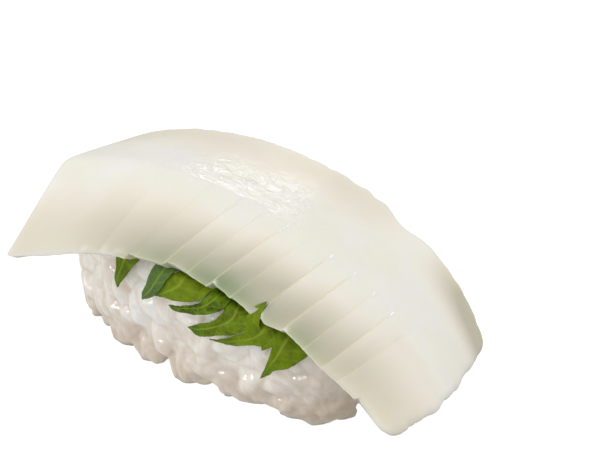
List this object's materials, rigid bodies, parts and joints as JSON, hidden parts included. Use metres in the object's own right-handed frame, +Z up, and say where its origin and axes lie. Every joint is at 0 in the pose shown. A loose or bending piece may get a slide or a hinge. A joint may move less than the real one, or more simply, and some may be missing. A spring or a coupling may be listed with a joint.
{
  "type": "squid nigiri sushi",
  "caption": "Squid nigiri sushi: a pressed oval block of rice, a saw-toothed green leaf over its front edge and a thick scored slice of raw squid draped over both.",
  "frame": {"origin": "on the surface it rests on, below the middle of the whole piece", "axes": "+Z up; +X along the slice toward its drooping end; -Y toward the scored cut face"},
  "size_m": [0.0682, 0.0366, 0.0277],
  "materials": {
    "rice": "moist cooked rice, slightly see-through grains with small wet highlights",
    "leaf": "fresh green leaf with lighter veins, satin",
    "squid": "milky see-through raw squid, smooth cut front, moist and glossy top skin"
  },
  "bodies": {
    "root": {"rice": "rice", "shiso_leaf": "leaf", "squid_slice": "squid"}
  },
  "joints": []
}
